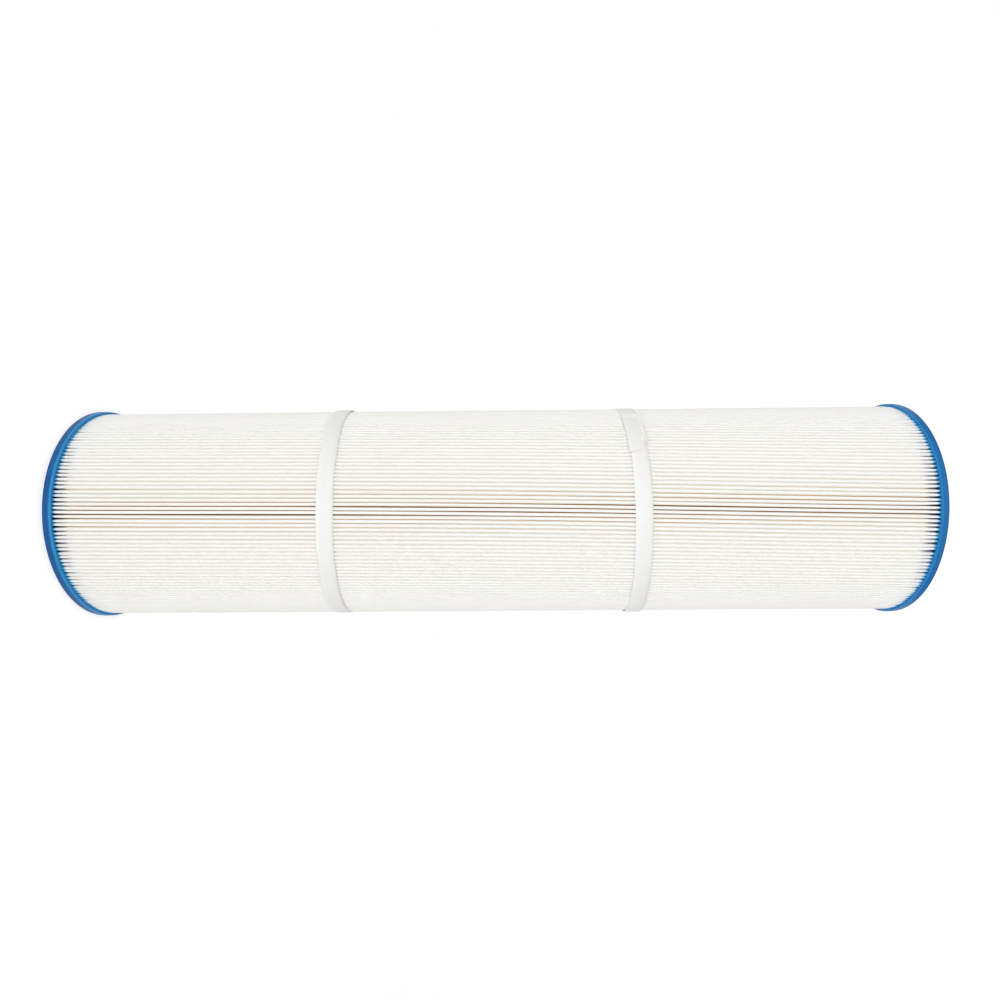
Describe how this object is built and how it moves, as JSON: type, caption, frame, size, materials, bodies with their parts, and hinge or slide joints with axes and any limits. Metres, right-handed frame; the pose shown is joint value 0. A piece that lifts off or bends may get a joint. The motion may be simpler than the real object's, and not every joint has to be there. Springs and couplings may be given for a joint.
{
  "type": "pleated filter cartridge",
  "caption": "Long cylindrical water filter cartridge: pleated white fabric round a drilled open core, two narrow straps, and a blue cast end cap with a central opening at each end.",
  "frame": {"origin": "centre of the lower end cap's resting face", "axes": "+Z along the core's axis, from the lower cap to the upper cap; the fabric's glued seam faces +X"},
  "size_m": [0.1778, 0.1778, 0.6747],
  "materials": {
    "urethane_cap": "cast polyurethane, satin, slightly translucent",
    "filter_fabric": "spun-bonded polyester, matt",
    "core_plastic": "extruded tube, satin",
    "strap": "spun-bonded polyester tape, matt",
    "hot_melt": "hot-melt adhesive, satin"
  },
  "bodies": {
    "root": {"bottom_end_cap": "urethane_cap", "top_end_cap": "urethane_cap", "pleated_media": "filter_fabric", "center_core": "core_plastic", "side_seam_bond": "hot_melt", "lower_band": "strap", "lower_band_bond": "hot_melt", "upper_band": "strap", "upper_band_bond": "hot_melt"}
  },
  "joints": []
}
